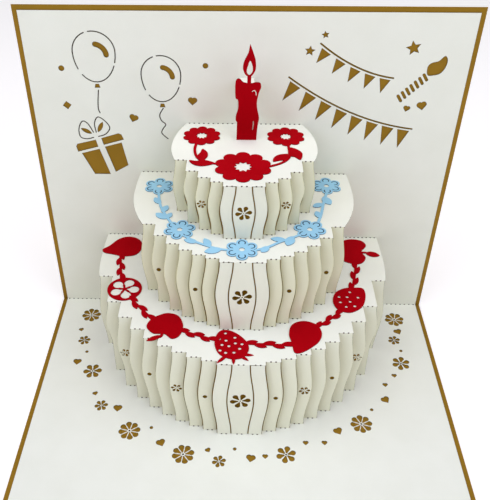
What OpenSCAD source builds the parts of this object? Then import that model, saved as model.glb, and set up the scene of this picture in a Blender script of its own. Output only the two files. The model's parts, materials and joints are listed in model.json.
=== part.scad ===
// Pop-up greeting card, standing open at a right angle.
// One white sheet, slit and folded, rises from the fold as a cake of three round tiers.
// It is glued inside a gold cover that shows as a border and through the cut-outs.
// A paper candle and three paper garlands are glued on the tiers.
// X runs along the fold, Y towards the back panel and Z up, all in millimetres.

/* [Card] */
// Width of the card along its fold
card_w = 180; // [172:1:220]
// Length of each cover panel from the fold
panel_l = 150; // [146:1:180]
// Thickness of the gold cover
cover_t = 0.4; // [0.3:0.05:0.6]
// Thickness of the white insert
sheet_t = 0.3; // [0.2:0.05:0.4]
// Gold border that shows round the insert
border = 2; // [1:0.5:4]
// Width of the cut between two strips
kerf = 0.4; // [0.2:0.05:0.6]
// Width of the fine line cuts on the back panel
line_w = 0.35; // [0.3:0.05:0.6]

/* [Bottom tier] */
// Height of the bottom tier
low_h = 41.5; // [36:0.5:46]
// Radius of its round front
low_r = 63.5; // [61:0.5:66]
// Distance of its centre from the back panel
low_set = 18.5; // [16:0.5:20]
// How far its outline draws in at the back fold
low_draw = 0.5; // [0.3:0.1:2]
// Strips on each side of the front strip
low_count = 10; // [8:1:12]
// Width of the front strip
low_front = 7; // [6:0.5:9]
// Angle from the front over which it is cut into strips
low_sweep = 78.5; // [76:0.5:82]
// Swell of its wavy cuts
low_wave = 1.8; // [0.5:0.1:2.2]

/* [Middle tier] */
// Height of the middle tier
mid_h = 34.5; // [30:0.5:38]
// Radius of its round front
mid_r = 46; // [44:0.5:47]
// Distance of its centre from the back panel
mid_set = 17; // [15.5:0.5:18]
// How far its outline draws in at the back fold
mid_draw = 1; // [0.3:0.1:3]
// Strips on each side of the front strip
mid_count = 7; // [6:1:9]
// Width of the front strip
mid_front = 7.2; // [6:0.1:9]
// Angle from the front over which it is cut into strips
mid_sweep = 60.5; // [58:0.5:64]
// Swell of its wavy cuts
mid_wave = 1.7; // [0.5:0.1:2.2]

/* [Top tier] */
// Height of the top tier
top_h = 24; // [20:0.5:27]
// Radius of its round front
top_r = 29; // [28:0.5:29.5]
// Distance of its centre from the back panel
top_set = 19.5; // [18:0.5:20]
// How far its outline draws in at the back fold
top_draw = 5; // [3:0.5:6]
// Strips on each side of the front strip
top_count = 5; // [4:1:6]
// Width of the front strip
top_front = 6; // [5:0.5:8]
// Angle from the front over which it is cut into strips
top_sweep = 68.5; // [66:0.5:72]
// Swell of its wavy cuts
top_wave = 1.3; // [0.5:0.1:1.8]

/* [Candle and garlands] */
// Thickness of the coloured paper
paper_t = 0.3; // [0.2:0.05:0.4]
// Height of the strap behind the candle
strap_h = 20.5; // [18:0.5:23]
// Distance of the strap's face from the back panel
strap_d = 13.5; // [12:0.5:14]
// Width of the strap
strap_w = 6.4; // [5:0.2:6.8]
// Shift of the strap from the middle of the card
strap_x = 0.4; // [0:0.1:0.6]
// Shift of the candle from the middle of the card
candle_x = 0.8; // [0.4:0.1:1.2]
// Radius of the front flower on the top tier
rose_r = 11; // [9:0.5:11.5]
// Radius of the two side flowers on the top tier
rosette_r = 7.7; // [6.5:0.1:8]
// Radius of the flowers on the middle tier
blossom_r = 6.4; // [5.5:0.1:6.6]
// Width of a garland's stem
stem_w = 1.1; // [0.8:0.1:1.5]

/* [Hidden] */
$fn = 32;
gold = "#9C7426";
white = "#F2F1EC";
red = "#A80814";
blue = "#A6D5F2";

// The fold's inner corner, seen from the part's origin at the middle of the card's footprint
fold_y = panel_l / 2 - cover_t - sheet_t;
fold_z = cover_t + sheet_t;
// Reach of the insert's panels from the fold, and its half width
sheet_l = panel_l - cover_t - sheet_t - border;
sheet_half = card_w / 2 - border;
// Overshoot of a cut past an edge that it opens
over = 0.1;
// Steps along one edge of a strip and along a tier's side
wave_steps = 12;
side_steps = 10;
// Steps between two points of a drawn curve
curve_steps = 5;

// A tier is a list in this order, with the height of its base last
H = 0;
R = 1;
SET = 2;
DRAW = 3;
COUNT = 4;
FRONT = 5;
SWEEP = 6;
WAVE = 7;
BASE = 8;
low = [low_h, low_r, low_set, low_draw, low_count, low_front, low_sweep, low_wave, 0];
mid = [mid_h, mid_r, mid_set, mid_draw, mid_count, mid_front, mid_sweep, mid_wave, low_h];
top = [top_h, top_r, top_set, top_draw, top_count, top_front, top_sweep, top_wave, low_h + mid_h];
top_z = low_h + mid_h + top_h;

// Kinds of cut-out
DOT = 0;
HEART = 1;
FLOWER6 = 2;
FLOWER8 = 3;
STAR = 4;

// Cut-outs in the strips: kind, size and the strip that holds it, counted from the front one
low_cuts = [[FLOWER6, 8.3, 0], [DOT, 1.8, 2], [FLOWER6, 4.5, 4], [DOT, 1.8, 6], [FLOWER6, 4.4, 8]];
mid_cuts = [[FLOWER6, 7.7, 0], [DOT, 1.8, 3], [DOT, 1.8, 6]];
top_cuts = [[FLOWER6, 6.4, 0], [FLOWER6, 3.6, 3]];

// Cut-outs in the back panel: kind, size, place along the fold, height and turn
back_cuts = [
    [DOT, 2.2, -74, 124, 0],
    [DOT, 2.1, -16, 125.5, 0],
    [HEART, 3.7, -46.5, 102, -20],
    [HEART, 3.7, -21.5, 110, -4],
    [STAR, 3, 30.5, 138.5, 10],
    [STAR, 4.2, 25, 132, -6],
    [STAR, 6, 65, 133.5, 14],
    [HEART, 2.7, 66.3, 107.7, -12],
    [HEART, 3.9, 72.3, 109, 12]
];

// Ring of cut-outs in the floor: kind, size, angle from the front, distance from the tier, turn
floor_cuts = [
    [FLOWER8, 9, -95, 10.5, 10],
    [HEART, 2.2, -87, 13.5, 15],
    [FLOWER6, 5.6, -81.5, 11.5, 15],
    [DOT, 1.3, -75.5, 10.5, 0],
    [HEART, 3.7, -71.5, 15.5, 0],
    [FLOWER6, 8.2, -65.5, 10, 8],
    [HEART, 2.2, -55.5, 13.5, 20],
    [FLOWER6, 5.6, -50, 14.5, 12],
    [HEART, 3.7, -45.5, 10, 0],
    [FLOWER8, 9, -36, 14.5, 10],
    [DOT, 1.3, -31, 8, 0],
    [HEART, 3.7, -25, 12.5, 25],
    [FLOWER8, 9, -17, 14, 15],
    [HEART, 2.2, -10, 9.5, 30],
    [FLOWER6, 5.5, -6, 14, 15],
    [DOT, 1.3, -1.5, 7.5, 0],
    [HEART, 3.7, 3.5, 12, -10],
    [HEART, 2.2, 8, 11.5, 0],
    [FLOWER6, 8, 14.5, 12, 18],
    [HEART, 2.2, 22, 9, 0],
    [HEART, 2.2, 27.5, 12, 0],
    [HEART, 3.7, 34, 10, 25],
    [FLOWER8, 9, 42, 13, 5],
    [DOT, 1.3, 49, 11.5, 0],
    [HEART, 3.7, 55.5, 13.5, 30],
    [HEART, 2.2, 61.5, 10, 0],
    [HEART, 2.2, 67, 12, 0],
    [FLOWER6, 8, 73.5, 13.5, 18],
    [DOT, 1.3, 79.5, 13, 0],
    [FLOWER6, 5.5, 84.5, 10, 15],
    [HEART, 3.7, 89, 12.5, 20],
    [FLOWER8, 9, 95.5, 12.5, 8]
];

// Places on the tiers, as distance along the fold and distance from the back panel
rose_at = [-0.5, 35];
rosettes_at = [[-17.3, 10.9], [16.8, 10.9]];
// and, for the flowers on the middle tier, their turn
blossoms_at = [[-35.9, 12, 0], [-24.9, 43.2, -12], [-0.4, 55.4, 0], [26.2, 41.8, 17], [35.6, 10, 0]];

// Curves and strokes

function reversed(p) = [for (i = [len(p) - 1:-1:0]) p[i]];
function mirrored(p) = concat(p, [for (q = reversed(p)) [-q.x, q.y]]);

// Point at share u of the way from b to c, on a smooth curve through a, b, c and d
function blend(a, b, c, d, u) =
    (2 * b + (c - a) * u + (2 * a - 5 * b + 4 * c - d) * u * u + (3 * b - a - 3 * c + d) * u * u * u) / 2;

// Smooth closed curve through a few points
function loop(p) =
    let (n = len(p))
    [for (i = [0:n - 1]) for (j = [0:curve_steps - 1])
        blend(p[(i + n - 1) % n], p[i], p[(i + 1) % n], p[(i + 2) % n], j / curve_steps)];

// Smooth open curve through a few points
function path(p) =
    let (n = len(p) - 1)
    concat(
        [for (i = [0:n - 1]) for (j = [0:curve_steps - 1])
            blend(p[max(i - 1, 0)], p[i], p[i + 1], p[min(i + 2, n)], j / curve_steps)],
        [p[n]]);

// Points along part of an egg with half width a, and heights b above and c below its middle
function egg(a, b, c, from, to) =
    let (steps = ceil(abs(to - from) / 9))
    [for (i = [0:steps]) let (q = from + (to - from) * i / steps)
        [a * cos(q), (sin(q) > 0 ? b : c) * sin(q)]];

function heading(p, i) =
    let (v = p[min(i + 1, len(p) - 1)] - p[max(i - 1, 0)])
    v / norm(v);
function beside(p, w) =
    [for (i = [0:len(p) - 1]) let (v = heading(p, i)) p[i] + w * [-v.y, v.x]];

// Half circle round the end of a line that runs along v
function cap(at, v, w) =
    [for (q = [-60:30:60]) at + w / 2 * (cos(q) * v + sin(q) * [-v.y, v.x])];

// Line of width w with round ends
module stroke(p, w) {
    last = len(p) - 1;
    polygon(concat(
        beside(p, -w / 2),
        cap(p[last], heading(p, last), w),
        reversed(beside(p, w / 2)),
        cap(p[0], -heading(p, 0), w)));
}

// Pointed leaf from the origin along X
module leaf(length, width) {
    bow = (pow(length, 2) + pow(width, 2)) / (4 * width);
    translate([length / 2, 0])
        intersection() {
            translate([0, bow - width / 2]) circle(bow, $fn = 96);
            translate([0, width / 2 - bow]) circle(bow, $fn = 96);
        }
}

// Cut-out shapes

// Heart of width w: a square on its corner, with a half circle on each upper side
module heart(w) {
    side = w / (1 + 1 / sqrt(2));
    r = side / 2;
    right = [for (q = [-90:22.5:90]) [side, r] + r * [cos(q), sin(q)]];
    left = [for (q = [22.5:22.5:180]) [r, side] + r * [cos(q), sin(q)]];
    translate([0, -side * 0.78])
        rotate(45)
            polygon(concat([[0, 0]], right, left));
}

// Round-ended petal along X, with its round end at distance centre and its narrow end at distance tip
module petal(tip, centre, r, narrow) {
    shoulder = 0.97 * r;
    translate([centre, 0]) circle(r);
    polygon([[tip, -narrow], [centre, -shoulder], [centre, shoulder], [tip, narrow]]);
}

// Petals that taper towards a small eye
module flower(w, count, round) {
    petal_r = w * round;
    circle(d = w * 0.08);
    for (i = [0:count - 1])
        rotate(i * 360 / count) petal(w * 0.09, w / 2 - petal_r, petal_r, w * 0.025);
}

module star(w, points = 5, depth = 0.45) {
    polygon([for (i = [0:2 * points - 1])
        let (q = 90 + i * 180 / points, r = w / 2 * (i % 2 == 0 ? 1 : depth))
        [r * cos(q), r * sin(q)]]);
}

module cut_out(kind, size) {
    if (kind == DOT) circle(d = size);
    if (kind == HEART) heart(size);
    if (kind == FLOWER6) flower(size, 6, 0.135);
    if (kind == FLOWER8) flower(size, 8, 0.13);
    if (kind == STAR) star(size);
}

// Balloon drawn in line cuts, with a highlight, a knot and a string
module balloon(half_w, string) {
    rise = half_w;
    drop = half_w * 1.48;
    knot = 2.2;
    for (arc = [[-20, 100], [112, 214], [-131, -27]])
        stroke(egg(half_w, rise, drop, arc[0], arc[1]), line_w);
    translate([0, -half_w * 0.19])
        stroke(egg(half_w * 0.58, rise * 0.58, drop, 6, 80), half_w * 0.24);
    translate([0, -drop - 0.9])
        polygon([[-knot * 0.3, 0], [knot * 0.3, 0], [knot / 2, -knot * 0.7], [-knot / 2, -knot * 0.7]]);
    translate([0, -drop - 3])
        stroke(path(string), line_w);
}

// Wrapped present with a bow
module present() {
    polygon([[-9.4, 2.8], [-8.8, 4], [-0.6, 6.1], [0.1, 2.9], [-8.9, 0.3]]);
    polygon([[1.9, 6.9], [9.4, 9.3], [10.6, 8.8], [11.5, 6.5], [2.6, 3.8]]);
    polygon([[-7.3, -0.5], [0.5, 1.7], [4.2, -10.9], [-2.7, -10.9]]);
    polygon([[3.1, 2.8], [10.4, 4.9], [12.4, -6.2], [6.7, -9.7]]);
    stroke(path([[-1.2, 9.8], [-3.2, 13.9], [-5.4, 14.9], [-7.2, 11.5], [-7, 7.6], [-4.4, 6.6],
        [-1.4, 7.3]]), line_w);
    stroke(path([[0, 9.8], [-0.3, 14], [1.4, 17], [4.2, 15.2], [6, 12], [4, 9], [0.8, 7.8]]), line_w);
    translate([-6.3, 11.6]) rotate(-29) leaf(5, 1.7);
    translate([0.8, 9.9]) rotate(63) leaf(5.3, 1.7);
}

// Small striped candle with a flame, leaning to the right
module small_candle() {
    stripes = 7;
    pitch = [1.48, 1.52];
    for (i = [0:stripes - 1])
        translate(i * pitch)
            stroke([[-0.7, 1.1], [0.7, -1.1]], 1.05);
    polygon(loop([[9.6, 10.2], [9.1, 13.4], [10.4, 15.1], [13, 15.9], [15.1, 18], [16.3, 16.2],
        [15.9, 13.2], [14.4, 10.9], [12, 10.1]]));
}

// String of pennants that hangs between two points
module bunting(from, to, count, sag, flag_w, flag_h) {
    span = to - from;
    function hang(u) = from + span * u - [0, 4 * sag * u * (1 - u)];
    stroke([for (i = [0:4 * count]) hang(i / (4 * count))], line_w * 1.5);
    for (i = [0:count - 1]) {
        a = hang((i + 0.14) / count);
        b = hang((i + 0.86) / count);
        across = (b - a) / norm(b - a);
        down = [across.y, -across.x];
        clear = down * line_w * 3;
        half = across * flag_w / 2;
        middle = (a + b) / 2;
        polygon([middle - half + clear, middle + half + clear, middle + clear + down * flag_h]);
    }
}

// Tier geometry: v is the distance along the sheet from the tier's back fold

function strip_w(t) = (t[R] * sin(t[SWEEP]) - t[FRONT] / 2) / t[COUNT];
function slit_x(t, k) = t[FRONT] / 2 + k * strip_w(t);

// Distance of strip i from the back panel: the front strip and its neighbours are flush,
// and each strip after them has its outer corner on the tier's circle
function depth(t, i) =
    t[SET] + (i < 2 ? t[R] : sqrt(pow(t[R], 2) - pow(slit_x(t, i), 2)));

// Sideways swell of slit k, between the folds that it joins
function swell(t, k, v) =
    let (
        from = depth(t, k),
        to = t[H] + (k < t[COUNT] ? depth(t, k + 1) : from),
        u = (v - from) / (to - from))
    u > 0 && u < 1 ? t[WAVE] * pow(sin(180 * u), 2) : 0;
function slit(t, k, v) = slit_x(t, k) + swell(t, k, v);

// Half width of the tier's cut: a flat arc at the back, the tier's circle, then the last slit
function back_r(t) = (pow(t[DRAW], 2) + pow(t[SET], 2)) / (2 * t[DRAW]);
function side(t, v) =
    v < t[SET] ? t[R] - back_r(t) + sqrt(pow(back_r(t), 2) - pow(t[SET] - v, 2))
    : v < depth(t, t[COUNT]) ? sqrt(pow(t[R], 2) - pow(v - t[SET], 2))
    : slit(t, t[COUNT], v);

// Stepped front of a tier, from its last strip to the front one
function steps(t, trim) = [
    for (i = [t[COUNT]:-1:2]) let (y = trim - depth(t, i)) each [[slit_x(t, i), y], [slit_x(t, i - 1), y]],
    [slit_x(t, 1), trim - depth(t, 1)]
];

// Half outline from y = back to the last strip, with the side taken from distance v0 on
function flank(t, v0, back, trim) =
    let (run = depth(t, t[COUNT]) - trim)
    [for (j = [0:side_steps - 1]) let (q = run * j / side_steps)
        [side(t, v0 + q), j == 0 ? back : -q]];

// Opening that a tier leaves in the sheet below it
module tier_floor_cut(t) {
    polygon(mirrored(concat(flank(t, t[H], sheet_t + over, sheet_t), steps(t, sheet_t))));
}

// Opening that a tier leaves in the back panel
module tier_back_cut(t) {
    run = t[H];
    polygon(mirrored([for (j = [0:side_steps])
        let (v = sheet_t + run * j / side_steps)
        [side(t, v), t[BASE] + t[H] - v - (j == side_steps ? over : 0)]]));
}

// Flat top of a tier, back to the far side of the back panel
module tier_top_shape(t) {
    polygon(mirrored(concat(flank(t, 0, sheet_t, 0), steps(t, 0))));
}

// Wavy face of strip i on the right
module strip_shape(t, i) {
    foot = t[H] + sheet_t;
    drops = [for (j = [0:wave_steps]) foot * j / wave_steps];
    near = [for (s = drops) [slit(t, i - 1, depth(t, i) + s) + kerf / 2, t[H] - s]];
    far = [for (s = drops) [slit(t, i, depth(t, i) + s) - kerf / 2, t[H] - s]];
    polygon(concat(far, reversed(near)));
}

// Face of the front strip
module front_shape(t) {
    foot = t[H] + sheet_t;
    polygon(mirrored([for (j = [0:wave_steps]) let (s = foot * j / wave_steps)
        [slit(t, 0, depth(t, 0) + s) - kerf / 2, t[H] - s]]));
}

// Cut-out at half height in strip i
module strip_cut(t, cut) {
    i = cut[2];
    v = depth(t, i) + t[H] / 2;
    x = i == 0 ? 0 : (slit(t, i - 1, v) + slit(t, i, v)) / 2;
    translate([x, t[H] / 2]) rotate(10) cut_out(cut[0], cut[1]);
}

// Raises a flat shape as a sheet whose face is at distance d from the back panel
module upright(d, t) {
    translate([0, t - d, 0]) rotate([90, 0, 0]) linear_extrude(t) children();
}

module tier_strips(t, cuts) {
    translate([0, 0, t[BASE]]) {
        upright(depth(t, 0), sheet_t)
            difference() {
                front_shape(t);
                for (c = cuts) if (c[2] == 0) strip_cut(t, c);
            }
        for (way = [0, 1], i = [1:t[COUNT]])
            mirror([way, 0, 0])
                upright(depth(t, i), sheet_t)
                    difference() {
                        strip_shape(t, i);
                        for (c = cuts) if (c[2] == i) strip_cut(t, c);
                    }
    }
}

module strap_shape(from, to) {
    translate([strap_x - strap_w / 2, from]) square([strap_w, to - from]);
}

// Flat top of a tier at height z, less what the children cut
module tier_top(t) {
    translate([0, 0, t[BASE] + t[H] - sheet_t])
        linear_extrude(sheet_t)
            difference() {
                tier_top_shape(t);
                children();
            }
}

module back_ornament() {
    for (c = back_cuts)
        translate([c[2], c[3]]) rotate(c[4]) cut_out(c[0], c[1]);
    translate([-73.8, 107.8]) rotate(50) square(2.5, center = true);
    translate([-60.2, 130.8]) balloon(8.5, [[0.2, -0.6], [-0.5, -5.5], [-0.7, -9], [-0.2, -10.8]]);
    translate([-34, 121.6])
        balloon(8, [[0.2, 0], [-1.4, -3], [-0.8, -5.6], [0.9, -7.4], [-0.4, -9.6], [-0.9, -11.6],
            [1.6, -14.2]]);
    translate([-63, 85.5]) present();
    translate([62.7, 112.3]) small_candle();
    bunting([29, 135], [59, 121], 5, 2.5, 4.4, 6);
    bunting([17.5, 121], [70, 98.5], 8, 4, 5, 8.5);
}

module floor_ornament() {
    for (c = floor_cuts) {
        r = low_r + c[3];
        translate([r * sin(c[2]), -low_set - r * cos(c[2])])
            rotate(c[4]) cut_out(c[0], c[1]);
    }
}

module back_sheet() {
    upright(0, sheet_t)
        difference() {
            translate([-sheet_half, -sheet_t]) square([2 * sheet_half, sheet_l + sheet_t]);
            for (t = [low, mid, top]) tier_back_cut(t);
            strap_shape(top_z - sheet_t - over, top_z + strap_h - sheet_t);
            back_ornament();
        }
}

module floor_sheet() {
    translate([0, 0, -sheet_t])
        linear_extrude(sheet_t)
            difference() {
                translate([-sheet_half, -sheet_l]) square([2 * sheet_half, sheet_l + sheet_t]);
                tier_floor_cut(low);
                floor_ornament();
            }
}

// Small strap, cut and folded from the same sheet, that carries the candle
module strap() {
    translate([0, 0, top_z + strap_h - sheet_t])
        linear_extrude(sheet_t)
            strap_shape(-strap_d, sheet_t);
    upright(strap_d, sheet_t)
        strap_shape(top_z - sheet_t, top_z + strap_h);
}

// Places what is drawn from the fold's inner corner
module at_fold() {
    translate([0, fold_y, fold_z]) children();
}

// Gold cover, folded once, with its fold rounded outside
module cover() {
    color(gold)
        translate([-card_w / 2, panel_l / 2, 0])
            rotate([90, 0, 90])
                linear_extrude(card_w) {
                    translate([-panel_l, 0]) square([panel_l - cover_t, cover_t]);
                    translate([-cover_t, cover_t]) square([cover_t, panel_l - cover_t]);
                    intersection() {
                        translate([-cover_t, cover_t]) circle(cover_t);
                        translate([-cover_t, 0]) square(cover_t);
                    }
                }
}

// White sheet with the cake, cut and folded as one piece
module insert() {
    color(white)
        at_fold() {
            back_sheet();
            floor_sheet();
            tier_top(low) tier_floor_cut(mid);
            tier_top(mid) tier_floor_cut(top);
            tier_top(top) strap_shape(sheet_t - strap_d, sheet_t + over);
            tier_strips(low, low_cuts);
            tier_strips(mid, mid_cuts);
            tier_strips(top, top_cuts);
            strap();
        }
}

// Candle with drips, a wick and an open flame, glued on the strap
module candle_shape() {
    tall = 24.5;
    difference() {
        union() {
            polygon(concat(
                [[-4, 0], [4, 0]],
                path([[4.2, 4], [4.5, 7.5], [4.8, 10], [4, 13.7], [3.8, 17], [4.4, 20.5], [5.2, 22.9],
                    [4.8, 24.6], [3.2, 24.9], [1.6, tall], [0, tall], [-1.8, 25], [-3.1, 26.3],
                    [-4.4, 25.8], [-4.8, 23], [-4.6, 18.4], [-3.6, 17.4], [-3.5, 14], [-4.3, 11],
                    [-4.4, 8.8], [-3.9, 8]])));
            translate([-0.2, tall - 1]) square([1.5, 4.5]);
            polygon(concat(
                [[0.6, 40]],
                path([[0, 36.6], [-1.6, 33], [-1.9, 30.2], [-0.9, 27.9], [0.6, 27.1], [1.8, 27.9],
                    [2.9, 30.2], [2.8, 33.6], [1.6, 37.4]])));
        }
        polygon(loop([[0.7, 33.5], [1.6, 31.6], [1.7, 29.2], [0.5, 27.8], [-0.5, 29.2], [0, 31.6]]));
        stroke(path([[1.8, 21], [2.6, 21.5], [3.2, 20.8], [3.4, 19.6]]), 0.4);
        stroke(path([[2.6, 8.3], [2.6, 6.4], [2.4, 4.6]]), 0.4);
    }
}

module candle() {
    color(red)
        at_fold()
            translate([candle_x, 0, top_z])
                upright(strap_d + paper_t, paper_t)
                    candle_shape();
}

// Lays a flat paper shape on top of a tier, drawn with the distance from the back panel downwards
module lay_on(z) {
    at_fold()
        translate([0, 0, z])
            linear_extrude(paper_t)
                children();
}

function ahead(p) = [p.x, -p.y];
function drawn(list) = [for (p = reversed(list)) ahead(p)];

// Scalloped flower with a star-shaped eye
module rose(r) {
    petals = 10;
    petal_r = r * 0.25;
    difference() {
        union() {
            circle(r - petal_r);
            for (i = [0:petals - 1])
                rotate(i * 360 / petals) translate([0, r - petal_r]) circle(petal_r);
        }
        rotate(180 / petals) star(r * 0.68, petals, 0.7);
    }
}

module rose_garland() {
    color(red)
        lay_on(top_z) {
            translate(ahead(rose_at)) rose(rose_r);
            for (p = rosettes_at) translate(ahead(p)) rose(rosette_r);
            stroke(path(drawn([[-19, 16], [-19.6, 22], [-18.6, 27.5], [-16.6, 30.6], [-13.5, 32.4],
                [-9, 33.2]])), stem_w);
            stroke(path(drawn([[17.4, 17], [17.7, 23], [17.2, 28], [14, 32], [9, 34.8]])), stem_w);
            polygon(loop(drawn(
                [[-16.4, 31], [-18.2, 27.4], [-17.2, 24.4], [-16.5, 21.8], [-14.5, 24.4], [-14.4, 27.8]])));
            polygon(loop(drawn(
                [[-21.3, 30.7], [-18.4, 31.1], [-15.5, 30.3], [-11.4, 32.6], [-15.8, 34.8],
                    [-19.4, 33.8]])));
            polygon(loop(drawn(
                [[17.6, 20.2], [20.4, 20.9], [22.7, 24.4], [21.7, 29.2], [19.6, 27.2], [17.7, 26]])));
            polygon(loop(drawn(
                [[11.1, 30.8], [11.6, 27.6], [14, 25.4], [18, 25.2], [16.6, 29.2], [13.4, 30.1]])));
        }
}

// Six-petalled flower with an eye and a line cut in each petal
module blossom(r) {
    petals = 6;
    petal_r = r * 0.35;
    vein_r = r * 0.2;
    eye_r = r * 0.17;
    difference() {
        union() {
            circle(r * 0.5);
            for (i = [0:petals - 1])
                rotate(i * 360 / petals) translate([0, r - petal_r]) circle(petal_r);
        }
        circle(eye_r);
        for (i = [0:petals - 1])
            rotate(i * 360 / petals)
                translate([0, r - petal_r])
                    vein(vein_r, line_w * 0.9);
    }
}

// Line cut round a petal, open towards the flower's eye
module vein(r, w) {
    gap = r * 1.6;
    difference() {
        circle(r + w / 2);
        circle(r - w / 2);
        translate([-gap / 2, -2 * r]) square([gap, 2 * r]);
    }
}

// Leaf on a vine, from its foot to its tip
module vine_leaf(foot, tip, width) {
    run = ahead(tip) - ahead(foot);
    translate(ahead(foot)) rotate(atan2(run.y, run.x)) leaf(norm(run), width);
}

module blossom_garland() {
    leaf_w = 2.9;
    color(blue)
        lay_on(low_h + mid_h) {
            for (p = blossoms_at) translate(ahead(p)) rotate(p[2]) blossom(blossom_r);
            stroke(path(drawn([[-35.6, 17.5], [-34.9, 22.5], [-33.6, 28], [-31.5, 33], [-28, 40]])),
                stem_w);
            stroke(path(drawn([[-22.5, 47.5], [-18.5, 50.8], [-14, 53.2], [-9.5, 55.2], [-5.5, 55.8]])),
                stem_w);
            stroke(path(drawn([[5, 55.6], [9.5, 53.6], [14, 50.4], [18.5, 47.8], [22, 45.5]])), stem_w);
            stroke(path(drawn([[30, 36.5], [31.6, 31], [32.8, 25], [34.2, 19], [35.4, 15]])), stem_w);
            vine_leaf([-34.2, 25.5], [-37, 20.8], leaf_w);
            vine_leaf([-33, 31.4], [-31, 26.6], leaf_w);
            vine_leaf([-30.4, 36], [-35.4, 32.2], leaf_w * 1.2);
            vine_leaf([-30.6, 35.6], [-29, 31.8], leaf_w * 0.8);
            vine_leaf([-17.4, 51.4], [-22.8, 49.6], leaf_w);
            vine_leaf([-12.4, 53.8], [-15, 48.8], leaf_w);
            vine_leaf([-8, 55.2], [-14.6, 57.2], leaf_w * 1.3);
            vine_leaf([9.8, 53.2], [6.8, 56.8], leaf_w);
            vine_leaf([16.6, 49], [10.6, 48.2], leaf_w);
            vine_leaf([19.2, 46.6], [16.8, 52.4], leaf_w * 1.3);
            vine_leaf([31, 34], [29.6, 29.2], leaf_w);
            vine_leaf([32.8, 23.6], [28.6, 26], leaf_w);
            vine_leaf([33.4, 18.4], [36, 24.2], leaf_w * 1.3);
        }
}

// Twisted vine of overlapping leaves between two points
module vine(from, to, count) {
    run = ahead(to) - ahead(from);
    step = norm(run) / count;
    translate(ahead(from))
        rotate(atan2(run.y, run.x)) {
            translate([0, -stem_w / 2]) square([norm(run), stem_w]);
            for (i = [0:count - 1])
                translate([(i - 0.25) * step, (i % 2 == 0 ? 0.35 : -0.35)])
                    rotate(i % 2 == 0 ? 12 : -12) leaf(step * 1.5, 2.1);
        }
}

module fruit(outline) {
    polygon(loop(drawn(outline)));
}

// Slice of fruit: a rim, a hub and spokes between round openings
module slice(r) {
    segments = 5;
    difference() {
        circle(r);
        for (i = [0:segments - 1])
            rotate(68 + i * 360 / segments) petal(r * 0.13, r * 0.555, r * 0.29, r * 0.03);
    }
}

// Round seed holes in a berry
module seeds(places) {
    for (p = places) translate(ahead(p)) circle(d = 1.25);
}

module strawberry() {
    difference() {
        fruit([[-6.6, 63.5], [-2.6, 64.8], [1.6, 69], [3, 73.6], [0.8, 78.3], [-4, 79.2], [-8.6, 76.6],
            [-10.5, 71], [-9.4, 65.4]]);
        seeds([[-6.3, 65.4], [-8.6, 68.6], [-6, 69.4], [-2.5, 67.7], [-7.5, 71.8], [-4.8, 72.4],
            [-2.3, 70.8], [0.3, 71.2], [-8.2, 74.8], [-6, 76], [-2.8, 75.8], [-0.6, 73.7]]);
    }
    for (tip = [[-9.3, 81.5], [-2.9, 81.9], [2.8, 79.9], [4.8, 77]])
        vine_leaf([-3 + (tip.x + 3) * 0.3, 76.6], tip, 1.4);
}

module berry() {
    difference() {
        fruit([[44, 36.8], [48, 36.3], [51.9, 36.9], [52.2, 42.4], [49.8, 48.6], [44.6, 52], [39.8, 50.2],
            [38.2, 45], [40, 39.6]]);
        seeds([[46, 39.2], [44.5, 42.4], [49, 42.6], [41.1, 42.4], [45.4, 45.3], [41.3, 45.7], [47, 48],
            [43.4, 48.5]]);
    }
}

module fruit_garland() {
    color(red)
        lay_on(low_h) {
            fruit([[-63.8, 12.4], [-61, 9.6], [-57.4, 4.4], [-52.6, 2.4], [-47.6, 4.8], [-45.8, 10.4],
                [-48, 15.8], [-53.2, 17.2], [-59, 15.8], [-62.6, 14.8]]);
            translate(ahead([-50, 39.7])) slice(7.4);
            fruit([[-36.6, 58], [-33.2, 55.4], [-29.8, 54.3], [-25.6, 56], [-23.4, 61.4], [-24.4, 67],
                [-27.4, 69], [-30.6, 66.4], [-35, 66.2], [-38.1, 62.4]]);
            vine_leaf([-31.4, 67.2], [-37.3, 70.4], 2.2);
            vine_leaf([-31.2, 65.6], [-32, 68.6], 1.2);
            strawberry();
            fruit([[18.9, 65], [20.4, 59.8], [25, 57.5], [30.2, 59.4], [32, 64.4], [30, 69.6], [24.2, 74.6],
                [20.6, 75.2], [19.8, 70]]);
            berry();
            fruit([[47, 3.2], [51.2, 1.8], [55.6, 2.9], [57.2, 6.6], [54.6, 11], [55.9, 15.6], [53, 19.8],
                [47.6, 19.2], [42.8, 15], [42.4, 8]]);
            vine_leaf([56.2, 11.8], [62.4, 13.8], 3.6);
            vine_leaf([53.4, 11.4], [58, 11.8], 1.2);
            vine([-55.2, 15.6], [-52.4, 33.4], 5);
            vine([-47.2, 45], [-35.6, 59], 5);
            vine([-24.6, 64.2], [-9.4, 69.6], 5);
            vine([2.2, 70.8], [20, 71.4], 5);
            vine([30.6, 60.8], [41.6, 51], 5);
            vine([47.4, 37.4], [51.4, 18.6], 5);
        }
}

cover();
insert();
candle();
rose_garland();
blossom_garland();
fruit_garland();
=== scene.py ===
"""Pop-up card with a paper cake, dressed as card, coloured paper and scorched cut edges.

The card stands open at a right angle. Its white insert is one slit and folded sheet, glued in a
gold cover, with a paper candle and three paper garlands on the tiers. Sizes are in metres.
"""

from __future__ import annotations

import json
import logging
import math
from dataclasses import dataclass
from enum import Enum, IntEnum
from functools import partial

import bmesh
import bpy
from bmesh.types import BMEdge, BMVert, BMesh
from bpy.types import GeometryNodeTree, ID, Material, Mesh, Object, ShaderNodeTree
from bpy.types import Node, NodeOutputs, NodeSocket, NodeTree
from mathutils import Matrix, Vector
from mathutils.bvhtree import BVHTree

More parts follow.
